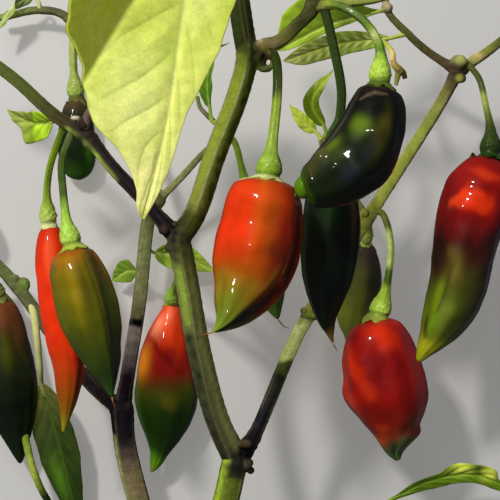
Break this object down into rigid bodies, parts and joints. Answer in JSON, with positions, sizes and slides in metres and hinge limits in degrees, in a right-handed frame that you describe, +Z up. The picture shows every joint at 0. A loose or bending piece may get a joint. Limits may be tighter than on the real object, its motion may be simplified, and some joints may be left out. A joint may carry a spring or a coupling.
{
  "type": "cut fruiting top of a chilli pepper plant",
  "caption": "Cut top of a chilli pepper plant laid on its back: forked woody stems, hanging pods in red, olive and dark green on bright stalks, and the larger leaves.",
  "frame": {"origin": "middle of the underside of the box, on the surface that the cut plant lies on", "axes": "+Y along the stems from the flat cut to the leafy ends, +X to the right seen from above, +Z up from the surface"},
  "size_m": [0.2207, 0.2792, 0.1106],
  "materials": {
    "green_bark": "satin, ridged, green to olive with tan ribs",
    "grey_bark": "matt, tan to grey olive, with dark joints",
    "stalk_green": "satin, bright green, warty at the bulb",
    "red_skin": "glossy, red passing to olive and green at the tip",
    "dark_green_skin": "glossy, almost black green with lighter patches",
    "olive_skin": "glossy, olive passing to green",
    "bright_leaf": "soft satin, yellow green with pale veins",
    "dark_leaf": "soft satin, dark green"
  },
  "bodies": {
    "root": {"stem_foot": "green_bark", "lower_front_stem": "green_bark", "front_stem": "green_bark", "upper_stem": "green_bark", "left_limb": "green_bark", "top_limb": "green_bark", "top_side_limb": "green_bark", "right_limb": "green_bark", "right_inner_twig": "green_bark", "right_outer_twig": "green_bark", "back_stem": "grey_bark", "back_middle_stem": "grey_bark", "back_left_limb": "grey_bark", "back_upper_limb": "grey_bark", "back_twig": "grey_bark", "lower_right_shoot": "green_bark", "inner_shoot": "green_bark", "front_pod": "red_skin", "bent_pod": "dark_green_skin", "dark_pod": "dark_green_skin", "shaded_pod": "olive_skin", "lumpy_pod": "red_skin", "long_pod": "red_skin", "slim_pod": "red_skin", "olive_pod": "olive_skin", "ripening_pod": "red_skin", "small_pod": "dark_green_skin", "edge_pod": "dark_green_skin", "hidden_pod": "olive_skin", "front_pod_stalk": "stalk_green", "bent_pod_stalk": "stalk_green", "dark_pod_stalk": "stalk_green", "shaded_pod_stalk": "stalk_green", "lumpy_pod_stalk": "stalk_green", "long_pod_stalk": "stalk_green", "slim_pod_stalk": "stalk_green", "olive_pod_stalk": "stalk_green", "ripening_pod_stalk": "stalk_green", "small_pod_stalk": "stalk_green", "edge_pod_stalk": "stalk_green", "hidden_pod_stalk": "stalk_green", "front_leaf": "bright_leaf", "curled_leaf": "bright_leaf", "upper_right_leaf": "bright_leaf", "striped_leaf": "bright_leaf", "small_leaf_left": "bright_leaf", "small_leaf_right": "bright_leaf", "back_leaf_left": "bright_leaf", "back_leaf_right": "bright_leaf", "lower_right_leaf": "bright_leaf", "lower_left_leaf": "dark_leaf", "left_leaf": "bright_leaf", "top_left_leaf": "bright_leaf", "stem_end_leaf": "bright_leaf", "top_end_leaf": "bright_leaf", "side_end_leaf": "bright_leaf", "right_end_leaf": "bright_leaf", "left_end_leaf": "bright_leaf", "back_left_end_leaf": "bright_leaf"}
  },
  "joints": []
}
